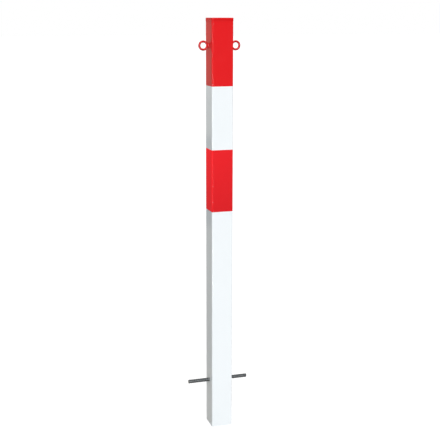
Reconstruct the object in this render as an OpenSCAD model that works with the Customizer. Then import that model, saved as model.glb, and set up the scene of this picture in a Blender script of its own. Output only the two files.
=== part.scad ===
// Barrier post for setting in concrete: a square steel tube with a plastic
// end cap, two welded chain eyes, a wrapped band of reflective film and a
// ribbed anchor rod through the foot. The origin is the centre of the tube's
// lower end, +Z points up, and the eyes and the rod lie along X.

/* [Tube] */
// Width of the square tube across its flat sides
tube_w = 70; // [60:1:90]
// Length of the tube without its cap
tube_len = 1340; // [1000:10:1800]
// Wall thickness of the tube
tube_wall = 2; // [2:0.5:3.5]
// Outer radius of the tube's rolled corners
corner_r = 4; // [4:0.5:8]
// Width of the weld seam down the inside of the back wall
seam_w = 4; // [3:0.5:6]
// Height of that seam above the inside of the wall
seam_h = 0.4; // [0.2:0.1:0.8]

/* [Cap] */
// Height of the cap's head above the tube
cap_h = 10; // [6:0.5:16]
// Distance that the head stands proud of the tube's sides
cap_proud = 0.6; // [0.2:0.1:1.5]
// Radius of the head's upper edges
cap_edge_r = 1.5; // [0.5:0.25:2]
// Thickness of the head above its cored inside
cap_skin = 3; // [2:0.5:5]
// Length of the plug below the head
plug_len = 30; // [24:1:50]
// Wall thickness of the plug
plug_wall = 2; // [1.5:0.25:3]
// Number of sealing fins round the plug
fin_count = 4; // [2:1:4]
// Distance from one fin to the next
fin_pitch = 6; // [4.5:0.5:7]
// Distance that each fin reaches out from the plug
fin_reach = 2.5; // [2:0.25:4]
// Thickness of each fin at its root
fin_root = 1.6; // [1.2:0.1:2.4]
// Thickness of each fin at its rim
fin_rim = 0.6; // [0.4:0.1:1]
// Clearance between the fins and the inside of the tube
fin_gap = 0.1; // [0.05:0.05:0.3]
// Thickness of the crossed webs inside the plug
web_t = 1.5; // [1:0.25:3]
// Depth of the crossed webs below the cored head
web_depth = 18; // [10:1:24]

/* [Eyes] */
// Diameter of the round bar that each eye is bent from, with its coating
eye_wire = 7; // [5:0.1:8]
// Clear diameter of the hole in each eye
eye_hole = 18; // [16:0.2:30]
// Distance from the tube's upper end down to the centre of each eye
eye_drop = 75; // [40:1:150]
// Weld metal between the eye's bar and the tube
eye_stand = 2; // [0.5:0.25:3]
// Radius of the weld bead round the foot of each eye
bead_r = 2.3; // [1.8:0.1:3]
// Height of the oval that the middle of the bead follows
weld_h = 11; // [9:0.5:14]

/* [Reflective band] */
// Height of the film, and of each painted band above it
band_h = 200; // [100:5:250]
// Thickness of the film
film_t = 0.3; // [0.2:0.05:0.6]
// Layer of adhesive between the film and the tube
film_glue = 0.05; // [0.02:0.01:0.1]
// Width over which the film's ends lap on the back
lap_w = 12; // [6:1:20]

/* [Anchor rod] */
// Length of the rod
rod_len = 203; // [160:1:260]
// Diameter of the rod's core, without its ribs
core_d = 11.2; // [8:0.2:12]
// Height of the slanted ribs at their middle
rib_h = 0.75; // [0.4:0.05:1]
// Width of each slanted rib
rib_w = 1.5; // [1:0.1:2.5]
// Distance from one slanted rib to the next
rib_pitch = 7.5; // [5:0.5:12]
// Slant of the ribs away from square to the rod
rib_slant = 36; // [20:1:45]
// Radius of the two lengthwise ribs
long_rib_r = 1; // [0.6:0.1:1.4]
// Distance that the lengthwise ribs stand out from the core
long_rib_h = 0.5; // [0.3:0.05:0.8]
// Bevel on the rod's sawn ends
rod_bevel = 1; // [0.5:0.1:2]
// Diameter of the holes drilled through the tube's side walls
hole_d = 14; // [14:0.5:20]
// Height of those holes above the tube's lower end
hole_z = 157.5; // [80:0.5:300]
// Distance that the rod lies off centre, towards the left
rod_shift = 6; // [0:1:20]
// Clearance where the rod rests in its holes
rod_rest = 0.05; // [0.02:0.01:0.2]

/* [Hidden] */
$fn = 96;

// Extra length of a cutting shape past the face that it cuts
past = 1;
// Inside of the tube
inner_w = tube_w - 2 * tube_wall;
inner_r = corner_r - tube_wall;
// Circle whose segment is the weld seam
seam_r = (seam_w * seam_w / 4 + seam_h * seam_h) / (2 * seam_h);
seam_y = inner_w / 2 + seam_r - seam_h;
// Cap
cap_w = tube_w + 2 * cap_proud;
cap_r = corner_r + cap_proud;
fin_w = inner_w - 2 * fin_gap;
fin_corner_r = max(inner_r - fin_gap, fin_rim / 2);
plug_w = fin_w - 2 * fin_reach;
plug_corner_r = plug_wall + 0.5;
core_w = plug_w - 2 * plug_wall;
core_corner_r = plug_corner_r - plug_wall;
core_depth = plug_len + cap_h - cap_skin;
// Eyes
eye_mid_r = (eye_hole + eye_wire) / 2;
eye_x = eye_stand + eye_mid_r + eye_wire / 2;
eye_z = tube_len - eye_drop;
weld_w = eye_wire * 3 / 4;
weld_straight = weld_h - weld_w;
bead_x = bead_r / 3;
root_w = eye_wire * 2 / 3;
root_h = weld_h - bead_r;
root_d = eye_stand + eye_wire / 4;
// Film, below one painted band and one white band
film_z = tube_len - 3 * band_h;
film_in = tube_w + 2 * film_glue;
film_out = film_in + 2 * film_t;
// Rod
core_r = core_d / 2;
over_r = core_r + rib_h;
rib_off = rib_h * (2 * core_r + rib_h) / (2 * over_r);
rib_r = over_r - rib_off;
rib_rows = ceil(rod_len / rib_pitch) + 1;
rod_z = hole_z - hole_d / 2 + over_r + rod_rest;

// Square outline with round corners, centred on the origin.
module rounded_square(w, r) {
    square([w, w - 2 * r], center = true);
    square([w - 2 * r, w], center = true);
    for (x = [-1, 1], y = [-1, 1])
        translate([x * (w / 2 - r), y * (w / 2 - r)]) circle(r);
}

// Plate of height h whose rim follows a profile round a square with corner
// radius r. The profile runs from x = 0 at a corner's centre to x = r.
module rimmed_plate(w, r, h) {
    flat = w - 2 * r;
    translate([-flat / 2, -flat / 2, 0]) cube([flat, flat, h]);
    for (a = [0:90:270]) rotate(a) {
        translate([flat / 2, flat / 2, 0])
            rotate([90, 0, 0]) linear_extrude(flat) children();
        translate([flat / 2, flat / 2, 0]) rotate_extrude() children();
    }
}

// Circle whose inner segment is the weld seam, grown by a clearance.
module seam_circle(gap) {
    translate([0, seam_y]) circle(seam_r + gap);
}

// Hollow section, its seam and the two holes for the rod.
module post_tube() {
    color("white") difference() {
        linear_extrude(tube_len) difference() {
            rounded_square(tube_w, corner_r);
            difference() {
                rounded_square(inner_w, inner_r);
                seam_circle(0);
            }
        }
        translate([0, 0, hole_z]) rotate([0, 90, 0])
            cylinder(d = hole_d, h = tube_w + 2 * past, center = true);
    }
}

// Rim of the cap's head: a straight side with a round upper edge.
module head_rim() {
    square([cap_r - cap_edge_r, cap_h]);
    square([cap_r, cap_h - cap_edge_r]);
    translate([cap_r - cap_edge_r, cap_h - cap_edge_r]) circle(cap_edge_r);
}

// Rim of one fin: flat above and sloping up to its edge below.
module fin_rim_profile() {
    polygon([[0, 0], [fin_corner_r, fin_root - fin_rim], [fin_corner_r, fin_root], [0, fin_root]]);
}

// Two webs that cross inside the plug.
module crossed_webs() {
    for (a = [0, 90]) rotate(a)
        translate([-core_w / 2, -web_t / 2, tube_len + cap_h - cap_skin - web_depth])
            cube([core_w, web_t, web_depth]);
}

// End cap: head, hollow plug, fins with a notch for the seam, and webs.
module top_cap() {
    color("#E02428") {
        difference() {
            union() {
                translate([0, 0, tube_len]) rimmed_plate(cap_w, cap_r, cap_h) head_rim();
                translate([0, 0, tube_len - plug_len])
                    linear_extrude(plug_len + past) rounded_square(plug_w, plug_corner_r);
                for (i = [1:fin_count])
                    translate([0, 0, tube_len - i * fin_pitch])
                        rimmed_plate(fin_w, fin_corner_r, fin_root) fin_rim_profile();
            }
            translate([0, 0, tube_len - plug_len - past])
                linear_extrude(core_depth + past) rounded_square(core_w, core_corner_r);
            translate([0, 0, tube_len - plug_len - past])
                linear_extrude(plug_len + past) seam_circle(fin_gap);
        }
        crossed_webs();
    }
}

// Bead along an oval in the XY plane: two half rings and two straight runs.
module oval_bead() {
    for (a = [0, 180]) rotate(a) {
        translate([0, weld_straight / 2, 0])
            rotate_extrude(angle = 180) translate([weld_w / 2, 0]) circle(bead_r);
        translate([weld_w / 2, 0, 0])
            rotate([90, 0, 0]) cylinder(r = bead_r, h = weld_straight, center = true);
    }
}

// Weld at the foot of an eye: its root behind the bar, and a bead round the
// bar, cut flat at the wall.
module eye_weld() {
    translate([0, -root_w / 2, -root_h / 2]) cube([root_d, root_w, root_h]);
    intersection() {
        translate([bead_x, 0, 0]) rotate([90, 0, 90]) oval_bead();
        translate([0, -tube_w / 2, -tube_w / 2]) cube(tube_w);
    }
}

// Chain eye with its foot on the wall at x = 0 and its ring upright.
module eye() {
    translate([eye_x, 0, 0]) rotate([90, 0, 0])
        rotate_extrude() translate([eye_mid_r, 0]) circle(d = eye_wire);
    eye_weld();
}

module left_eye() {
    color("#E02428") translate([-tube_w / 2, 0, eye_z]) rotate(180) eye();
}

module right_eye() {
    color("#E02428") translate([tube_w / 2, 0, eye_z]) eye();
}

// Film wrapped once round the tube, its ends lapped on the back.
module reflective_band() {
    color("#E52B30") translate([0, 0, film_z]) {
        linear_extrude(band_h) difference() {
            rounded_square(film_out, film_out / 2 - tube_w / 2 + corner_r);
            rounded_square(film_in, film_in / 2 - tube_w / 2 + corner_r);
        }
        translate([-lap_w / 2, film_out / 2 - film_t / 2, 0])
            cube([lap_w, film_t * 3 / 2, band_h]);
    }
}

// One row of slanted ribs. A cylinder set off to one side makes each rib a
// crescent: highest at its middle and level with the core at its ends.
module rib_row(side) {
    intersection() {
        translate([side * rib_off, 0, 0]) cylinder(r = rib_r, h = rod_len);
        for (i = [0:rib_rows - 1])
            translate([0, 0, i * rib_pitch + (side > 0 ? rib_pitch / 2 : 0)])
                rotate([side * rib_slant, 0, 0])
                    cube([3 * core_d, 3 * core_d, rib_w], center = true);
    }
}

// Ribbed bar along +Z, with bevelled ends.
module ribbed_bar() {
    intersection() {
        union() {
            cylinder(r = core_r, h = rod_len);
            for (s = [-1, 1])
                translate([0, s * (core_r + long_rib_h - long_rib_r), 0])
                    cylinder(r = long_rib_r, h = rod_len);
            rib_row(-1);
            rib_row(1);
        }
        rotate_extrude() polygon([
            [0, 0], [over_r - rod_bevel, 0], [over_r, rod_bevel],
            [over_r, rod_len - rod_bevel], [over_r - rod_bevel, rod_len], [0, rod_len]
        ]);
    }
}

module anchor_rod() {
    color("#55595A") translate([-rod_len / 2 - rod_shift, 0, rod_z])
        rotate([0, 90, 0]) ribbed_bar();
}

post_tube();
top_cap();
left_eye();
right_eye();
reflective_band();
anchor_rod();
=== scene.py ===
# %% [markdown]
# # A barrier post in red and white
#
# The real object is a square steel tube, 70 mm wide and 1.35 m tall, whose lower 350 mm is set in
# concrete. It is powder coated white with a red head. A plastic cap closes its upper end, and two
# eyes of round bar are welded to its sides for a chain. Below the white stretch a red reflective
# film is wrapped round it once, and a ribbed steel rod goes through its foot to hold it in the
# concrete.
#
# The six solids of the CAD model are loaded first. Each cell below then dresses one of them, either
# with a finish on the CAD mesh or with a finer mesh that stands in its place.

# %% Load the CAD model
import math

import bpy
from mathutils import Matrix, Vector


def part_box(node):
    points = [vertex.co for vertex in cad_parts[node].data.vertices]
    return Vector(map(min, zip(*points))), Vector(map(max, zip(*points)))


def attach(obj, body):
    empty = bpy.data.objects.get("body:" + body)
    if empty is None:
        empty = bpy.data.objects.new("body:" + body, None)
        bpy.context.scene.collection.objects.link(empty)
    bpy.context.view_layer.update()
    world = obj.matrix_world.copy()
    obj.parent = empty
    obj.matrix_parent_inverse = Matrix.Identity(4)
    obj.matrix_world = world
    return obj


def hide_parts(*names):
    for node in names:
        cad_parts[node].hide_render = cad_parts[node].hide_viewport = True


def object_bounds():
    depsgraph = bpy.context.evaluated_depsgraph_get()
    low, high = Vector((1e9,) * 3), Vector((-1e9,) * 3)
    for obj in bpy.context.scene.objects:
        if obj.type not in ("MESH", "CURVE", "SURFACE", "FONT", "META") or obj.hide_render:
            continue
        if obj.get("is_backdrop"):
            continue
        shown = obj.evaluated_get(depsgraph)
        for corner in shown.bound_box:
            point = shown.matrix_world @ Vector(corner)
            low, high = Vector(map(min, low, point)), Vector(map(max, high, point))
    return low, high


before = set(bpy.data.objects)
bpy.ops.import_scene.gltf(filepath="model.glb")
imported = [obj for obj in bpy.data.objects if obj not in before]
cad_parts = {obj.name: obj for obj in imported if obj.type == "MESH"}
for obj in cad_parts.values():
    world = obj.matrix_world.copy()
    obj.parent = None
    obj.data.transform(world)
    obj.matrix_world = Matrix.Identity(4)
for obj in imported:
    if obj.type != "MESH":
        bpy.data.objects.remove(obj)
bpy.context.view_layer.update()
print("CAD nodes:", ", ".join(sorted(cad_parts)))

# %% [markdown]
# ## The camera
#
# The post was photographed from its front left, at the height of its top. The camera could be set
# by eye, but a camera model fitted to the edges of the tube is exact: it gives the lens, the
# distance, the turn round the post and the tilt, and the tiny roll that the picture has.

# %% Set the camera
LENS = 76.0
DISTANCE = 2.9584
TURN = math.radians(17.16)
TILT = math.radians(12.381)
ROLL = math.radians(0.075)
ASIDE = 0.0025
EYE_LEVEL = 1.3548

camera_data = bpy.data.cameras.new("photo_camera")
camera_data.lens = LENS
camera_data.sensor_width = 36
camera_data.clip_end = 200
camera = bpy.data.objects.new("photo_camera", camera_data)
bpy.context.collection.objects.link(camera)
camera.matrix_world = (
    Matrix.Rotation(-TURN, 4, "Z")
    @ Matrix.Translation((ASIDE, -DISTANCE, EYE_LEVEL))
    @ Matrix.Rotation(math.pi / 2 - TILT, 4, "X")
    @ Matrix.Rotation(ROLL, 4, "Z")
)
bpy.context.scene.camera = camera
print("Camera at", [round(v, 3) for v in camera.matrix_world.translation])

# %% [markdown]
# ## Writing node trees as sums
#
# Shapes and finishes are both built from nodes. Adding each Math node by hand hides the formula, so
# a small class wraps a socket: a plus or a times sign between two of them adds the Math node. The
# same class serves shader trees and Geometry Nodes trees.

# %% Helpers for node trees
def plug(value, slot):
    """Put a plain value into a slot, or link a socket to it."""
    if isinstance(value, Field):
        value = value.socket
    if isinstance(value, bpy.types.NodeSocket):
        slot.id_data.links.new(value, slot)
    else:
        slot.default_value = value


def add(tree, kind, settings=None, inputs=None):
    """Add a node with its settings, and fill its inputs by name or by number."""
    node = tree.nodes.new(kind)
    for name, value in (settings or {}).items():
        setattr(node, name, value)
    for name, value in (inputs or {}).items():
        plug(value, node.inputs[name])
    return node


class Field:
    """A number in a node tree that can be used in a sum."""

    def __init__(self, socket):
        self.socket = socket
        self.tree = socket.id_data

    def math(self, operation, *others):
        inputs = dict(enumerate([self, *others]))
        return Field(add(self.tree, "ShaderNodeMath", {"operation": operation}, inputs).outputs[0])

    def __add__(self, other):
        return self.math("ADD", other)

    def __sub__(self, other):
        return self.math("SUBTRACT", other)

    def __mul__(self, other):
        return self.math("MULTIPLY", other)

    def __truediv__(self, other):
        return self.math("DIVIDE", other)

    def ramp(self, start, end, low=0.0, high=1.0):
        """Go smoothly from low to high as the number goes from start to end."""
        inputs = {"Value": self, "From Min": start, "From Max": end, "To Min": low, "To Max": high}
        node = add(self.tree, "ShaderNodeMapRange", {"interpolation_type": "SMOOTHSTEP"}, inputs)
        return Field(node.outputs["Result"])


def split(tree, vector):
    """The three coordinates of a vector, each as a field."""
    return [Field(s) for s in add(tree, "ShaderNodeSeparateXYZ", inputs={0: vector}).outputs]


print("Node helpers ready")

# %% [markdown]
# ## Steel under powder coat
#
# Powder coat is a baked plastic skin about 0.1 mm thick. It is glossy, and close up it shows orange
# peel: soft bumps about two millimetres wide and a hundredth or so high. The finish could be one
# flat colour, but then the reflections would be ruler straight and the surface would look like
# glass. Noise in the height gives the peel, and slower noise shifts the gloss and the tone a
# little, as the thickness of the coat does.

# %% Helpers for finishes
WHITE_COAT = (0.860, 0.905, 0.930, 1)
RED_COAT = (0.745, 0.006, 0.009, 1)


def new_finish(name, specular, colour):
    """A material with one Principled shader, its tree, and its Object coordinates."""
    finish = bpy.data.materials.new(name)
    finish.use_nodes = True
    tree = finish.node_tree
    tree.nodes.clear()
    shader = add(tree, "ShaderNodeBsdfPrincipled", inputs={"Specular IOR Level": specular})
    shader.inputs["Base Color"].default_value = colour
    add(tree, "ShaderNodeOutputMaterial", inputs={"Surface": shader.outputs[0]})
    place = add(tree, "ShaderNodeTexCoord").outputs["Object"]
    finish.diffuse_color = colour
    return finish, tree, shader, place


def noise(tree, place, size, detail=1.0):
    """Noise from 0 to 1 whose bumps are about this size in metres."""
    inputs = {"Vector": place, "Scale": 1 / size, "Detail": detail}
    return Field(add(tree, "ShaderNodeTexNoise", inputs=inputs).outputs["Fac"])


def blend(tree, share, first, second):
    """Mix two colours by a share from 0 to 1."""
    node = add(tree, "ShaderNodeMix", {"data_type": "RGBA"})
    for slot, value in zip([node.inputs[0], node.inputs[6], node.inputs[7]], [share, first, second]):
        plug(value, slot)
    return node.outputs[2]


def tone(tree, colour, brightness):
    """Multiply a colour by a brightness that is close to 1."""
    grey = add(tree, "ShaderNodeCombineColor", inputs={0: brightness, 1: brightness, 2: brightness})
    node = add(tree, "ShaderNodeMix", {"data_type": "RGBA", "blend_type": "MULTIPLY"})
    values = [1.0, colour, grey.outputs[0]]
    for slot, value in zip([node.inputs[0], node.inputs[6], node.inputs[7]], values):
        plug(value, slot)
    return node.outputs[2]


def raise_surface(tree, shader, height):
    """Bump the surface by a height in metres."""
    bump = add(tree, "ShaderNodeBump", inputs={"Distance": 1.0, "Height": height})
    plug(bump.outputs[0], shader.inputs["Normal"])


def dress(node_name, finish):
    """Give a CAD node its finish in place of the plain one that came with it."""
    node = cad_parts[node_name]
    node.data.materials.clear()
    node.data.materials.append(finish)
    print(node_name, "finished on", len(node.data.polygons), "CAD faces")


print("White coat", WHITE_COAT[:3], "and red coat", RED_COAT[:3])

# %% Orange peel and gloss of the coat
PEEL_SIZE = 0.002
PEEL_HEIGHT = 0.00003
COAT_ROUGHNESS = (0.15, 0.23)


def coat_peel(tree, place):
    """The height of the orange peel in metres."""
    return noise(tree, place, PEEL_SIZE, 1.5) * PEEL_HEIGHT


def coat_roughness(tree, place):
    """Gloss that shifts a little over a hand's width."""
    return noise(tree, place, 0.05, 3.0).ramp(0.3, 0.7, *COAT_ROUGHNESS)


print("Orange peel every", PEEL_SIZE * 1000, "mm")

# %% [markdown]
# ## The finish of the tube
#
# The tube is one piece of steel with two colours on it, so its red head is a mask along its height
# and not a second mesh. The edge of the mask wanders by a tenth of a millimetre, as paint does
# along masking tape. The head is one band tall, and one white band lies between it and the film,
# so the film's own box says where the edge is. Inside, the tube shows the zinc of galvanised strip,
# with its crystals and a brown line along the weld seam, and white powder that drifted in at the
# open end.

# %% Where the tube is red and where it is bare
film_low, film_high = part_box("reflective_band")
tube_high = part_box("post_tube")[1]
BAND = film_high.z - film_low.z
RED_EDGE = film_high.z + BAND
TUBE_WALL = 0.002
INNER_HALF = tube_high.x - TUBE_WALL
INNER_FADE = (INNER_HALF + 0.0001, INNER_HALF + 0.0004, 1, 0)
EDGE_WANDER = 0.0003
EDGE_BLUR = 0.00008
DRIFT = 0.045
DRIFT_FADE = (0.2 * DRIFT, DRIFT + 0.015)
DRIFT_RAGGED = 0.03

tube_finish, tree, shader, place = new_finish("white_coat_tube", 0.15, WHITE_COAT)
x, y, z = split(tree, place)
wander = noise(tree, place, 0.0012) * EDGE_WANDER - EDGE_WANDER / 2
red = (z + wander).ramp(RED_EDGE - EDGE_BLUR, RED_EDGE + EDGE_BLUR)
inside = x.math("ABSOLUTE").ramp(*INNER_FADE) * y.math("ABSOLUTE").ramp(*INNER_FADE)
bare = inside * (z + noise(tree, place, 0.006, 4.0) * DRIFT_RAGGED).ramp(*DRIFT_FADE)
print("Red head begins at", round(RED_EDGE * 1000), "mm")

# %% Tube finish
ZINC = (0.50, 0.52, 0.53, 1)
ZINC_ROUGHNESS = 0.35
CRYSTALS_PER_METRE = 140
SEAM_BROWN = (0.20, 0.13, 0.08, 1)
SEAM_FADE = (0.002, 0.007, 0.8, 0.0)
PAINT_STEP = 0.00006

crystals = add(tree, "ShaderNodeTexVoronoi",
               inputs={"Vector": place, "Scale": CRYSTALS_PER_METRE, "Randomness": 1.0})
crystal = Field(add(tree, "ShaderNodeSeparateColor", inputs={0: crystals.outputs["Color"]}).outputs[0])
zinc = tone(tree, ZINC, crystal * 0.35 + 0.8)
seam = x.math("ABSOLUTE").ramp(*SEAM_FADE) * y.ramp(0, 0.03)
zinc = blend(tree, seam, zinc, SEAM_BROWN)
cloud = noise(tree, place, 0.09, 3.0) * 0.02 + 0.99
coat = tone(tree, blend(tree, red, WHITE_COAT, RED_COAT), cloud)
plug(blend(tree, bare, coat, zinc), shader.inputs["Base Color"])
plug(bare, shader.inputs["Metallic"])
gloss = coat_roughness(tree, place)
plug(gloss + bare * (crystal * 0.15 + ZINC_ROUGHNESS - gloss), shader.inputs["Roughness"])
raise_surface(tree, shader, coat_peel(tree, place) + red * PAINT_STEP)
dress("post_tube", tube_finish)

# %% [markdown]
# ## The cap
#
# The cap is moulded plastic, dyed in the mass. The mould is spark eroded, which leaves a fine even
# grain that scatters the light, so the cap is duller than the coat below it, and its red a shade
# darker. Its CAD mesh has the round edges, the fins and the webs, and needs only this finish.

# %% Cap finish
RED_PLASTIC = (0.680, 0.005, 0.007, 1)
GRAIN_SIZE = 0.0006
GRAIN_HEIGHT = 0.000018
CAP_ROUGHNESS = (0.18, 0.32)

cap_finish, tree, shader, place = new_finish("red_plastic_cap", 0.07, RED_PLASTIC)
grain = noise(tree, place, GRAIN_SIZE, 3.0)
flow = noise(tree, place, 0.02, 2.0) * 0.05 + 0.975
plug(tone(tree, RED_PLASTIC, flow), shader.inputs["Base Color"])
plug(grain.ramp(0.2, 0.8, *CAP_ROUGHNESS), shader.inputs["Roughness"])
raise_surface(tree, shader, grain * GRAIN_HEIGHT)
dress("top_cap", cap_finish)

# %% [markdown]
# ## Shapes from Geometry Nodes
#
# The rod, the eyes and the film each follow a path or repeat a form, which is what Geometry Nodes
# are for. Each tree has named inputs for its sizes. A modifier takes an input by the socket's
# identifier, so the values are set before anything is evaluated. The result is then turned into a
# plain mesh, which rides with the post.

# %% Helpers that start and end a tree
def new_shape(name, sizes):
    """A Geometry Nodes tree with named sizes, and those sizes as fields."""
    tree = bpy.data.node_groups.new(name, "GeometryNodeTree")
    tree.interface.new_socket("Geometry", in_out="INPUT", socket_type="NodeSocketGeometry")
    for label, value in sizes.items():
        kind = "NodeSocketInt" if isinstance(value, int) else "NodeSocketFloat"
        kind = "NodeSocketVector" if isinstance(value, Vector) else kind
        tree.interface.new_socket(label, in_out="INPUT", socket_type=kind)
    tree.interface.new_socket("Finish", in_out="INPUT", socket_type="NodeSocketMaterial")
    tree.interface.new_socket("Geometry", in_out="OUTPUT", socket_type="NodeSocketGeometry")
    return tree, add(tree, "NodeGroupInput").outputs


def end_shape(tree, group, geometry, sharp_angle=None):
    """Close a tree: smooth shading, then real geometry with its finish."""
    node = add(tree, "GeometryNodeSetShadeSmooth", inputs={"Geometry": geometry, "Shade Smooth": True})
    if sharp_angle is not None:
        turn = Field(add(tree, "GeometryNodeInputMeshEdgeAngle").outputs["Unsigned Angle"])
        sharp = turn.math("GREATER_THAN", sharp_angle)
        inputs = {"Geometry": node.outputs[0], "Selection": sharp, "Shade Smooth": False}
        node = add(tree, "GeometryNodeSetShadeSmooth", {"domain": "EDGE"}, inputs)
    node = add(tree, "GeometryNodeRealizeInstances", inputs={"Geometry": node.outputs[0]})
    inputs = {"Geometry": node.outputs[0], "Material": group["Finish"]}
    node = add(tree, "GeometryNodeSetMaterial", inputs=inputs)
    add(tree, "NodeGroupOutput", inputs={"Geometry": node.outputs[0]})


print("A tree starts with new_shape and ends with end_shape")


# %% Helpers that turn a tree into a piece
def make_piece(name, tree, sizes, finish, start=None):
    """Run a tree and return its result as a plain mesh object."""
    source = bpy.data.objects.new(name + "_source", start or bpy.data.meshes.new(name + "_source"))
    bpy.context.collection.objects.link(source)
    modifier = source.modifiers.new("shape", "NODES")
    modifier.node_group = tree
    identifiers = {s.name: s.identifier for s in tree.interface.items_tree if s.in_out == "INPUT"}
    for label, value in {**sizes, "Finish": finish}.items():
        modifier[identifiers[label]] = value
    source.update_tag()
    evaluated = source.evaluated_get(bpy.context.evaluated_depsgraph_get())
    mesh = bpy.data.meshes.new_from_object(evaluated)
    mesh.name = name
    source.modifiers.remove(modifier)
    bpy.data.objects.remove(source)
    piece = bpy.data.objects.new(name, mesh)
    bpy.context.collection.objects.link(piece)
    print(name, "has", len(mesh.polygons), "faces")
    return piece


def stand_for(piece, node_name):
    """Let a piece ride on the post in place of its CAD node."""
    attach(piece, "root")
    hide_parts(node_name)
    print(piece.name, "stands for", node_name)


# %% [markdown]
# ## The anchor rod
#
# The rod is ribbed reinforcing bar. Two rows of slanted ribs lie on opposite sides of a round core,
# each rib a crescent that is highest in its middle and fades into the core, and between the rows
# run two low ribs along the bar. The ribs could be separate bodies set into the core, but rolling
# leaves soft flanks with no seam. So the bar is one skin: a tube of fine quads whose points are
# pushed out by a height that depends on where they are.

# %% Sizes of the rod and its bare skin
ROD = {
    "Length": 0.203,
    "Core radius": 0.0056,
    "Rib height": 0.00075,
    "Rib width": 0.0015,
    "Rib pitch": 0.0075,
    "Slant": math.radians(36),
    "Long rib height": 0.0005,
    "Bevel": 0.001,
    "Rows": 620,
    "Sides": 96,
}
FLANK = 0.0004

rod_tree, group = new_shape("ribbed_bar", {**ROD, "Place": Vector()})
size = {name: Field(group[name]) for name in ROD}
ends = add(rod_tree, "ShaderNodeCombineXYZ", inputs={0: size["Length"]})
axis = add(rod_tree, "GeometryNodeCurvePrimitiveLine", inputs={"End": ends.outputs[0]})
axis = add(rod_tree, "GeometryNodeResampleCurve",
           inputs={"Curve": axis.outputs[0], "Count": size["Rows"]})
round_bar = add(rod_tree, "GeometryNodeCurvePrimitiveCircle",
                inputs={"Resolution": size["Sides"], "Radius": size["Core radius"]})
skin = add(rod_tree, "GeometryNodeCurveToMesh",
           inputs={"Curve": axis.outputs[0], "Profile Curve": round_bar.outputs[0], "Fill Caps": True})
print("Bare bar of", ROD["Rows"], "rows with", ROD["Sides"], "sides")

# %% Height of the ribs
LONG_RIB_FLANK = (0.0013, 0.0003)

x, y, z = split(rod_tree, add(rod_tree, "GeometryNodeInputPosition").outputs[0])
top = z.math("GREATER_THAN", 0.0)
side = top * 2 - 1
along = x + side * y * size["Slant"].math("TANGENT")
shift = (top * -1 + 1) * size["Rib pitch"] * 0.5
beat = (along - shift).math("PINGPONG", size["Rib pitch"] * 0.5)
distance = beat * size["Slant"].math("COSINE")
rib = distance.ramp(size["Rib width"] * 0.5 + FLANK, size["Rib width"] * 0.5 - FLANK)
over = size["Core radius"] + size["Rib height"]
offset = size["Rib height"] * (size["Core radius"] * 2 + size["Rib height"]) / (over * 2)
radius = over - offset
crescent = (radius * radius - (offset * y / size["Core radius"]).math("POWER", 2.0)).math("SQRT")
crescent = crescent + offset * z.math("ABSOLUTE") / size["Core radius"] - size["Core radius"]
long_rib = z.math("ABSOLUTE").ramp(*LONG_RIB_FLANK) * size["Long rib height"]
height = (rib * crescent).math("MAXIMUM", long_rib)
print("Ribs", ROD["Rib height"] * 1000, "mm high, every", ROD["Rib pitch"] * 1000, "mm")

# %% Push the skin out
to_end = x.math("MINIMUM", size["Length"] - x)
reach = (size["Core radius"] + height).math("MINIMUM", over - size["Bevel"] + to_end)
swell = reach / size["Core radius"]
pushed = add(rod_tree, "ShaderNodeCombineXYZ", inputs={0: x, 1: y * swell, 2: z * swell})
ribbed = add(rod_tree, "GeometryNodeSetPosition",
             inputs={"Geometry": skin.outputs[0], "Position": pushed.outputs[0]})
moved = add(rod_tree, "GeometryNodeTransform",
            inputs={"Geometry": ribbed.outputs[0], "Translation": group["Place"]})
end_shape(rod_tree, group, moved.outputs[0], sharp_angle=math.radians(50))
print("Ends bevelled by", ROD["Bevel"] * 1000, "mm")

# %% [markdown]
# ## The finish of the rod
#
# Hot rolled bar leaves the mill under a skin of blue grey scale, neither bright nor matt, with
# paler patches where the scale has rubbed thin and a trace of rust in the angles of the ribs. The
# ends are sawn or cropped, so they show the steel itself with fine saw lines.

# %% Rod finish
rod_low, rod_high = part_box("anchor_rod")
SCALE_DARK = (0.019, 0.022, 0.024, 1)
SCALE_PALE = (0.062, 0.067, 0.069, 1)
RUST = (0.13, 0.065, 0.038, 1)
SAWN = (0.42, 0.42, 0.41, 1)
SCALE_ROUGHNESS = (0.38, 0.6)
SAW_PITCH = 0.00018
SAW_CONTRAST = 5000

rod_finish, tree, shader, place = new_finish("bar_steel_rod", 0.3, SCALE_DARK)
x, y, z = split(tree, place)
scale = blend(tree, noise(tree, place, 0.004, 6.0).ramp(0.38, 0.68), SCALE_DARK, SCALE_PALE)
specks = noise(tree, place, 0.0025, 8.0).ramp(0.63, 0.75, 0, 0.5)
scale = blend(tree, specks, scale, RUST)
half = (rod_high.x - rod_low.x) / 2
from_middle = (x - (rod_high.x + rod_low.x) / 2).math("ABSOLUTE")
end_face = from_middle.ramp(half - 0.0002, half - 0.0001)
saw = (z + y * 0.3 + noise(tree, place, 0.003) * 0.0006).math("PINGPONG", SAW_PITCH) * SAW_CONTRAST
sawn = tone(tree, SAWN, saw * 0.2 + 0.85)
plug(blend(tree, end_face, scale, sawn), shader.inputs["Base Color"])
plug(end_face * 0.55 + 0.4, shader.inputs["Metallic"])
dull = noise(tree, place, 0.002, 4.0).ramp(0.3, 0.7, *SCALE_ROUGHNESS)
plug(dull - end_face * 0.08, shader.inputs["Roughness"])
raise_surface(tree, shader, noise(tree, place, 0.0008, 5.0) * 0.00008 + end_face * saw * 0.00002)
print("Sawn ends at", round(rod_low.x * 1000, 1), "and", round(rod_high.x * 1000, 1), "mm")

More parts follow.
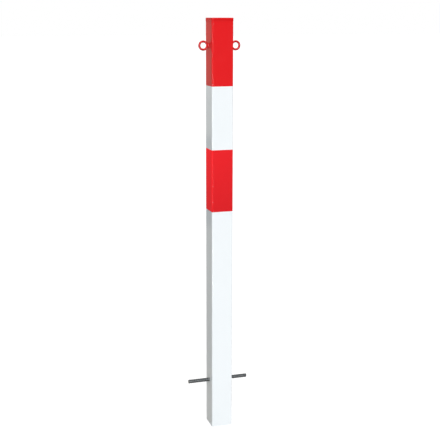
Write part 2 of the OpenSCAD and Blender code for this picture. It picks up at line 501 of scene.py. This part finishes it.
# %% Make the rod
rod_place = Vector((rod_low.x, 0, (rod_low.z + rod_high.z) / 2))
anchor_rod = make_piece("anchor_rod_ribbed", rod_tree, {**ROD, "Place": rod_place}, rod_finish)
stand_for(anchor_rod, "anchor_rod")
print("Rod axis at", round(rod_place.z * 1000, 1), "mm above the foot")

# %% [markdown]
# ## The chain eyes
#
# Each eye is round bar bent to a closed ring and welded to the side of the tube. The weld bead is a
# row of small puddles that froze one after another, and the coat rounds everything off. Placing a
# smooth torus in a smooth block would look like plastic. Here the ring, the root of the weld and an
# oval bead are joined, melted together as a volume and turned back into one skin. The skin is
# relaxed, and the puddles are pressed into it near the wall, as a wave that runs round the oval.

# %% Sizes of the eye and its ring
EYE = {
    "Ring radius": 0.0125,
    "Bar radius": 0.0035,
    "Stand": 0.002,
    "Bead radius": 0.0023,
    "Bead width": 0.00525,
    "Bead height": 0.011,
    "Puddles": 15,
    "Puddle depth": 0.0003,
    "Root depth": 0.00375,
    "Root width": 0.00467,
    "Root height": 0.0087,
    "Voxel": 0.00026,
}
BEAD_FROM_WALL = EYE["Bead radius"] / 3
INTO_WALL = 0.0005

eye_tree, group = new_shape("chain_eye", {**EYE, "Turn": Vector(), "Place": Vector()})
size = {name: Field(group[name]) for name in EYE}
ring_path = add(eye_tree, "GeometryNodeCurvePrimitiveCircle",
                inputs={"Resolution": 128, "Radius": size["Ring radius"]})
bar = add(eye_tree, "GeometryNodeCurvePrimitiveCircle",
          inputs={"Resolution": 48, "Radius": size["Bar radius"]})
ring = add(eye_tree, "GeometryNodeCurveToMesh",
           inputs={"Curve": ring_path.outputs[0], "Profile Curve": bar.outputs[0]})
ring_x = size["Stand"] + size["Ring radius"] + size["Bar radius"]
ring_centre = add(eye_tree, "ShaderNodeCombineXYZ", inputs={0: ring_x})
ring = add(eye_tree, "GeometryNodeTransform",
           inputs={"Geometry": ring.outputs[0], "Translation": ring_centre.outputs[0],
                   "Rotation": (math.pi / 2, 0, 0)})
print("Ring of", round(EYE["Bar radius"] * 2000, 1), "mm bar")

# %% Root and bead of the weld
root_size = add(eye_tree, "ShaderNodeCombineXYZ",
                inputs={0: size["Root depth"], 1: size["Root width"], 2: size["Root height"]})
root = add(eye_tree, "GeometryNodeMeshCube", inputs={"Size": root_size.outputs[0]})
root_middle = add(eye_tree, "ShaderNodeCombineXYZ", inputs={0: size["Root depth"] * 0.5})
root = add(eye_tree, "GeometryNodeTransform",
           inputs={"Geometry": root.outputs[0], "Translation": root_middle.outputs[0]})
oval = add(eye_tree, "GeometryNodeCurvePrimitiveCircle", inputs={"Resolution": 96, "Radius": 0.5})
oval_size = add(eye_tree, "ShaderNodeCombineXYZ",
                inputs={0: size["Bead height"], 1: size["Bead width"], 2: 1.0})
oval = add(eye_tree, "GeometryNodeTransform",
           inputs={"Geometry": oval.outputs[0], "Scale": oval_size.outputs[0]})
oval = add(eye_tree, "GeometryNodeTransform",
           inputs={"Geometry": oval.outputs[0], "Rotation": (0, math.pi / 2, 0),
                   "Translation": (BEAD_FROM_WALL, 0, 0)})
round_bead = add(eye_tree, "GeometryNodeCurvePrimitiveCircle",
                 inputs={"Resolution": 32, "Radius": size["Bead radius"]})
bead = add(eye_tree, "GeometryNodeCurveToMesh",
           inputs={"Curve": oval.outputs[0], "Profile Curve": round_bead.outputs[0]})
print("Weld bead", EYE["Bead height"] * 1000, "mm tall along its middle")

# %% [markdown]
# Melting costs a little thickness. The volume fades inwards from its skin over a band, and the new
# skin is drawn where the fade crosses the threshold. With the default band of 0.2 m the 7 mm bar
# came out at 6.3 mm, and with a band of three voxels it comes out at 6.8 mm.

# %% Melt the parts into one skin
BAND_VOXELS = 3
SKIN_THRESHOLD = 0.1

joined = add(eye_tree, "GeometryNodeMeshBoolean", {"operation": "UNION", "solver": "MANIFOLD"})
for part in (ring, root, bead):
    plug(part.outputs[0], joined.inputs["Mesh 2"])
volume = add(eye_tree, "GeometryNodeMeshToVolume", {"resolution_mode": "VOXEL_SIZE"},
             {"Mesh": joined.outputs[0], "Voxel Size": size["Voxel"],
              "Interior Band Width": size["Voxel"] * BAND_VOXELS})
skin = add(eye_tree, "GeometryNodeVolumeToMesh", {"resolution_mode": "VOXEL_SIZE"},
           {"Volume": volume.outputs[0], "Voxel Size": size["Voxel"], "Threshold": SKIN_THRESHOLD})
print("Parts melted at", EYE["Voxel"] * 1000, "mm")

# %% Relax the skin
RELAX_STEPS = 8
RELAX_LEAST = 0.4
WELD_FADE = (0.0024, 0.0036, 1.0, 0.0)

position = add(eye_tree, "GeometryNodeInputPosition").outputs[0]
x, y, z = split(eye_tree, position)
near_wall = x.ramp(*WELD_FADE)
relaxed = add(eye_tree, "GeometryNodeBlurAttribute", {"data_type": "FLOAT_VECTOR"},
              {"Iterations": RELAX_STEPS})
for name, value in (("Value", position), ("Weight", near_wall * (1 - RELAX_LEAST) + RELAX_LEAST)):
    plug(value, next(s for s in relaxed.inputs if s.enabled and s.name == name))
relaxed_position = next(s for s in relaxed.outputs if s.enabled)
skin = add(eye_tree, "GeometryNodeSetPosition",
           inputs={"Geometry": skin.outputs[0], "Position": relaxed_position})
print("Skin relaxed in", RELAX_STEPS, "steps")

# %% Press the puddles
PUDDLE_LAG = 0.35
PUDDLE_LEVEL = 0.7

across = y / (size["Bead width"] + size["Bead radius"])
up = z / (size["Bead height"] + size["Bead radius"])
turns = up.math("ARCTAN2", across) / math.tau
lag = x / size["Bead radius"] * PUDDLE_LAG
puddle = ((turns * size["Puddles"] + lag) * math.pi).math("SINE").math("ABSOLUTE")
press = (puddle - PUDDLE_LEVEL) * size["Puddle depth"] * near_wall
push = add(eye_tree, "ShaderNodeVectorMath", {"operation": "SCALE"},
           {"Vector": add(eye_tree, "GeometryNodeInputNormal").outputs[0], "Scale": press})
skin = add(eye_tree, "GeometryNodeSetPosition",
           inputs={"Geometry": skin.outputs[0], "Offset": push.outputs[0]})
print(EYE["Puddles"], "puddles,", EYE["Puddle depth"] * 1000, "mm deep")

# %% Cut the skin off inside the wall
CUTTER = (0.02, 0.04, 0.04)

wall_block = add(eye_tree, "GeometryNodeMeshCube", inputs={"Size": CUTTER})
wall_block = add(eye_tree, "GeometryNodeTransform",
                 inputs={"Geometry": wall_block.outputs[0],
                         "Translation": (-CUTTER[0] / 2 - INTO_WALL, 0, 0)})
cut = add(eye_tree, "GeometryNodeMeshBoolean", {"operation": "DIFFERENCE", "solver": "MANIFOLD"},
          {"Mesh 1": skin.outputs[0], "Mesh 2": wall_block.outputs[0]})
skin = add(eye_tree, "GeometryNodeTransform",
           inputs={"Geometry": cut.outputs[0], "Rotation": group["Turn"],
                   "Translation": group["Place"]})
end_shape(eye_tree, group, skin.outputs[0], sharp_angle=math.radians(60))
print("The skin ends", INTO_WALL * 1000, "mm inside the wall of the tube")

# %% [markdown]
# ## The finish of the eyes
#
# The eyes are coated together with the head, so their real red is the same. This one is darker
# because it is fitted to the photograph, whose sharpening may have darkened such thin rings. With a
# finish of their own, the eyes can be put back to the head's red without touching the tube.

# %% Make the eyes
EYE_COAT = (0.560, 0.005, 0.008, 1)

eye_finish, tree, shader, place = new_finish("red_coat_eye", 0.2, EYE_COAT)
plug(coat_roughness(tree, place), shader.inputs["Roughness"])
pooled = noise(tree, place, 0.004, 2.0) * 0.05 + 0.975
plug(tone(tree, EYE_COAT, pooled), shader.inputs["Base Color"])
raise_surface(tree, shader, coat_peel(tree, place))

for side, name in ((-1, "left_eye"), (1, "right_eye")):
    low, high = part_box(name)
    turn = Vector((0, 0, math.pi if side < 0 else 0))
    wall = Vector((side * tube_high.x, 0, (low.z + high.z) / 2))
    eye = make_piece(name + "_welded", eye_tree, {**EYE, "Turn": turn, "Place": wall}, eye_finish)
    stand_for(eye, name)

# %% [markdown]
# ## The reflective film
#
# The lower red band is not paint: its left face is as bright as its front, which is what
# retroreflective film does. The film is a strip wrapped once round the tube, with its last 12 mm
# lapped over its start on the back. A strip that follows a path is a sweep, so a path is drawn
# round the tube and a thin upright rectangle is swept along it.

# %% Film path
FILM = {"Thickness": 0.0003, "Height": BAND, "Edge radius": 0.0001}
LAP = 0.012
LAP_SLOPE = 0.002
CORNER_RADIUS = 0.004
CORNER_STEPS = 14
film_middle = film_high.x - FILM["Thickness"] / 2
film_corner = CORNER_RADIUS + film_middle - tube_high.x


def wrap_path(half, radius, lap, rise):
    """Points once round the tube, clockwise from above, from the lap on the back to its other end."""
    points = [(-lap / 2, half)]
    for corner in range(4):
        start = math.radians(90 - 90 * corner)
        middle = math.sqrt(2) * (half - radius)
        centre = [middle * math.cos(start - math.pi / 4), middle * math.sin(start - math.pi / 4)]
        for step in range(CORNER_STEPS + 1):
            angle = start - math.pi / 2 * step / CORNER_STEPS
            points.append((centre[0] + radius * math.cos(angle), centre[1] + radius * math.sin(angle)))
    points += [(-lap / 2 - LAP_SLOPE, half), (-lap / 2, half + rise), (lap / 2, half + rise)]
    return points


path = bpy.data.curves.new("film_path", "CURVE")
path.dimensions = "3D"
outline = wrap_path(film_middle, film_corner, LAP, FILM["Thickness"])
spline = path.splines.new("POLY")
spline.points.add(len(outline) - 1)
for point, (px, py) in zip(spline.points, outline):
    point.co = (px, py, (film_low.z + film_high.z) / 2, 1)
print("Film path has", len(outline), "points")

# %% Film shape
film_tree, group = new_shape("wrapped_strip", FILM)
size = {name: Field(group[name]) for name in FILM}
section = add(film_tree, "GeometryNodeCurvePrimitiveQuadrilateral",
              inputs={"Width": size["Thickness"], "Height": size["Height"]})
section = add(film_tree, "GeometryNodeFilletCurve", {"mode": "POLY"},
              {"Curve": section.outputs[0], "Count": 3, "Radius": size["Edge radius"]})
upright = add(film_tree, "GeometryNodeSetCurveNormal", {"mode": "Z_UP"}, {"Curve": group["Geometry"]})
strip = add(film_tree, "GeometryNodeCurveToMesh",
            inputs={"Curve": upright.outputs[0], "Profile Curve": section.outputs[0],
                    "Fill Caps": True})
end_shape(film_tree, group, strip.outputs[0], sharp_angle=math.radians(40))
print("Strip", FILM["Thickness"] * 1000, "mm thick and", round(FILM["Height"] * 1000), "mm tall")

# %% [markdown]
# ## The finish of the film
#
# The film is a red plastic sheet over a layer of glass beads. Seen close, the beads make a fine
# glitter, each one a little lighter or darker, under a smooth clear face that is flatter than the
# orange peel beside it.

# %% Film finish
RED_FILM = (0.715, 0.016, 0.021, 1)
BEADS_PER_METRE = 3500
FILM_ROUGHNESS = 0.13
FILM_WAVE = 0.00002

film_finish, tree, shader, place = new_finish("red_film_beads", 0.045, RED_FILM)
beads = add(tree, "ShaderNodeTexVoronoi", inputs={"Vector": place, "Scale": BEADS_PER_METRE})
bead = Field(add(tree, "ShaderNodeSeparateColor", inputs={0: beads.outputs["Color"]}).outputs[0])
plug(tone(tree, RED_FILM, bead * 0.16 + 0.92), shader.inputs["Base Color"])
plug(bead * 0.04 + noise(tree, place, 0.03, 2.0) * 0.05 + FILM_ROUGHNESS, shader.inputs["Roughness"])
raise_surface(tree, shader, noise(tree, place, 0.012, 2.0) * FILM_WAVE)

film = make_piece("reflective_film", film_tree, FILM, film_finish, start=path)
stand_for(film, "reflective_band")

# %% [markdown]
# ## The studio
#
# The photograph has a pure white ground and almost no shadow, and still the left side of the post
# is only half as bright as its front. So one soft lamp from the front does most of the work and the
# world fills in the rest. A sun lamp with a wide angle stands for a large softbox far away: it
# lights the whole height of the post evenly. A second one lights the back and the right side. The
# left side gets its light from a small lamp near the head, because it fades down the post.

# %% Light the post
FRONT_LIGHT = 2.75
FILL = 0.40
BACK_LIGHT = 2.1
LEFT_LIGHT = 1.25
LEFT_PLACE = (-0.62, 0.1, 1.56)
LEFT_TURN = math.radians(-65)


def soft_sun(name, azimuth, elevation, strength, angle):
    """A soft light from an azimuth, counted from the front towards the right."""
    lamp = bpy.data.lights.new(name, "SUN")
    lamp.energy = strength
    lamp.angle = math.radians(angle)
    thing = bpy.data.objects.new(name, lamp)
    bpy.context.collection.objects.link(thing)
    turn = Matrix.Rotation(math.radians(azimuth), 4, "Z")
    thing.matrix_world = turn @ Matrix.Rotation(math.radians(90 - elevation), 4, "X")
    return thing


soft_sun("front_softbox", azimuth=-7, elevation=38, strength=FRONT_LIGHT, angle=25)
soft_sun("back_softbox", azimuth=150, elevation=40, strength=BACK_LIGHT, angle=60)

left_data = bpy.data.lights.new("left_softbox", "AREA")
left_data.energy = LEFT_LIGHT
left_data.shape = "DISK"
left_data.size = 0.4
left_lamp = bpy.data.objects.new("left_softbox", left_data)
bpy.context.collection.objects.link(left_lamp)
left_lamp.matrix_world = Matrix.Translation(LEFT_PLACE) @ Matrix.Rotation(LEFT_TURN, 4, "Y")
left_lamp.visible_camera = False
print("Front light", FRONT_LIGHT, "and fill", FILL)

# %% [markdown]
# Film sends light back to where it came from, which no plain surface does, so its other faces are
# as bright as its front. Lamps that light nothing but the film stand for that.

# %% Light the film
FILM_LIGHT = {"left": (-90, 1.9), "right": (90, 0.5), "back": (180, 0.35)}

film_only = bpy.data.collections.new("film_only")
film_only.objects.link(film)
for name, (azimuth, strength) in FILM_LIGHT.items():
    film_lamp = soft_sun("film_return_" + name, azimuth, elevation=20, strength=strength, angle=30)
    film_lamp.light_linking.receiver_collection = film_only
print("Film lit on its own from", len(FILM_LIGHT), "sides")

# %% [markdown]
# ## The ground
#
# To the camera, and to anything glossy, the world and the floor are white. To the lamps the floor
# is a pale surface that catches the post's soft shadow, so the shadow is kept and the ground is
# still white.

# %% World and floor
FLOOR_SHADE = 0.25
FLOOR_GLOW = 0.80
FLOOR_SIZE = 120


def seen_directly(tree):
    """1 for rays that see the surface itself: from the camera, a mirror or clear glass."""
    rays = add(tree, "ShaderNodeLightPath").outputs
    direct = Field(rays["Is Camera Ray"]) + Field(rays["Is Glossy Ray"])
    return (direct + Field(rays["Is Transmission Ray"])).math("MINIMUM", 1.0)


world = bpy.data.worlds.new("white_studio")
bpy.context.scene.world = world
world.use_nodes = True
world.node_tree.nodes.clear()
direct = seen_directly(world.node_tree)
sky = add(world.node_tree, "ShaderNodeBackground",
          inputs={"Color": (1, 1, 1, 1), "Strength": direct * (1 - FILL) + FILL})
add(world.node_tree, "ShaderNodeOutputWorld", inputs={"Surface": sky.outputs[0]})

floor_finish = bpy.data.materials.new("white_floor")
floor_finish.use_nodes = True
tree = floor_finish.node_tree
tree.nodes.clear()
matt = add(tree, "ShaderNodeBsdfDiffuse", inputs={"Color": (FLOOR_SHADE, FLOOR_SHADE, FLOOR_SHADE, 1)})
glow = add(tree, "ShaderNodeEmission", inputs={"Strength": seen_directly(tree) * FLOOR_GLOW})
both = add(tree, "ShaderNodeAddShader", inputs={0: matt.outputs[0], 1: glow.outputs[0]})
add(tree, "ShaderNodeOutputMaterial", inputs={"Surface": both.outputs[0]})


def stage_plane(name, width, height, finish, place):
    """An upright or level sheet of the studio, which isn't part of the post."""
    w, h = width / 2, height / 2
    mesh = bpy.data.meshes.new(name)
    mesh.from_pydata([(-w, -h, 0), (w, -h, 0), (w, h, 0), (-w, h, 0)], [], [(0, 1, 2, 3)])
    mesh.materials.append(finish)
    sheet = bpy.data.objects.new(name, mesh)
    bpy.context.collection.objects.link(sheet)
    sheet.matrix_world = place
    sheet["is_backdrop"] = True
    return sheet


stage_plane("floor", FLOOR_SIZE, FLOOR_SIZE, floor_finish, Matrix())
print("Floor of", FLOOR_SIZE, "m, white to the camera")

# %% [markdown]
# ## Cards that only gloss can see
#
# A photographer stands cards round a glossy thing to shape its reflections. Here a bright one draws
# the line down the front left corner, and black ones darken the edges of the front face. Grey ones
# behind the post and on the ground keep its left face from mirroring the white studio, with a
# darker strip at the height of the film. The cards are seen by glossy rays alone, so they change
# no other light. The bright card has a price: a camera about as far to the right of the front as the
# card is to the left sees it mirrored in the flat front face, and the red turns pale there.

# %% Reflection cards
def card(name, azimuth, distance, width, brightness,
         bottom=0.0, top=2.3, depth=None, tint=(1, 1, 1, 1)):
    """A card at an azimuth, counted from the front towards the right; one with a depth lies down."""
    finish = bpy.data.materials.new(name)
    finish.use_nodes = True
    finish.node_tree.nodes.clear()
    inputs = {"Color": tint, "Strength": brightness}
    glow = add(finish.node_tree, "ShaderNodeEmission", inputs=inputs)
    add(finish.node_tree, "ShaderNodeOutputMaterial", inputs={"Surface": glow.outputs[0]})
    turn = Matrix.Rotation(math.radians(azimuth), 4, "Z")
    place = turn @ Matrix.Translation((0, -distance, (bottom + top) / 2))
    if depth is None:
        place = place @ Matrix.Rotation(math.pi / 2, 4, "X")
    sheet = stage_plane(name, width, depth or top - bottom, finish, place)
    for ray in ("camera", "diffuse", "transmission", "shadow", "volume_scatter"):
        setattr(sheet, "visible_" + ray, False)
    return sheet


WARM_GREY = (1.0, 0.96, 0.82, 1)
EARTH = (1.0, 0.94, 0.80, 1)
card("bright_card", azimuth=-13, distance=1.6, width=0.28, brightness=58.0)
card("black_card_left", azimuth=-95, distance=1.0, width=1.9, brightness=0.02)
card("black_card_right", azimuth=115, distance=1.0, width=2.4, brightness=0.02)
card("grey_card", azimuth=-168, distance=0.5, width=0.44, brightness=0.52, tint=WARM_GREY)
card("dark_strip", azimuth=-168, distance=0.48, width=0.44, brightness=0.12, bottom=0.58, top=0.92)
card("grey_card_lying", azimuth=-150, distance=0.32, width=0.6, brightness=0.66,
     bottom=0.001, top=0.001, depth=0.6, tint=EARTH)
print("Reflection cards stand round the post")

# %% Finish
bpy.context.scene.view_settings.view_transform = "Standard"
low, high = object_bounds()
print("Visual box in mm:", [round(1000 * (b - a), 1) for a, b in zip(low, high)])
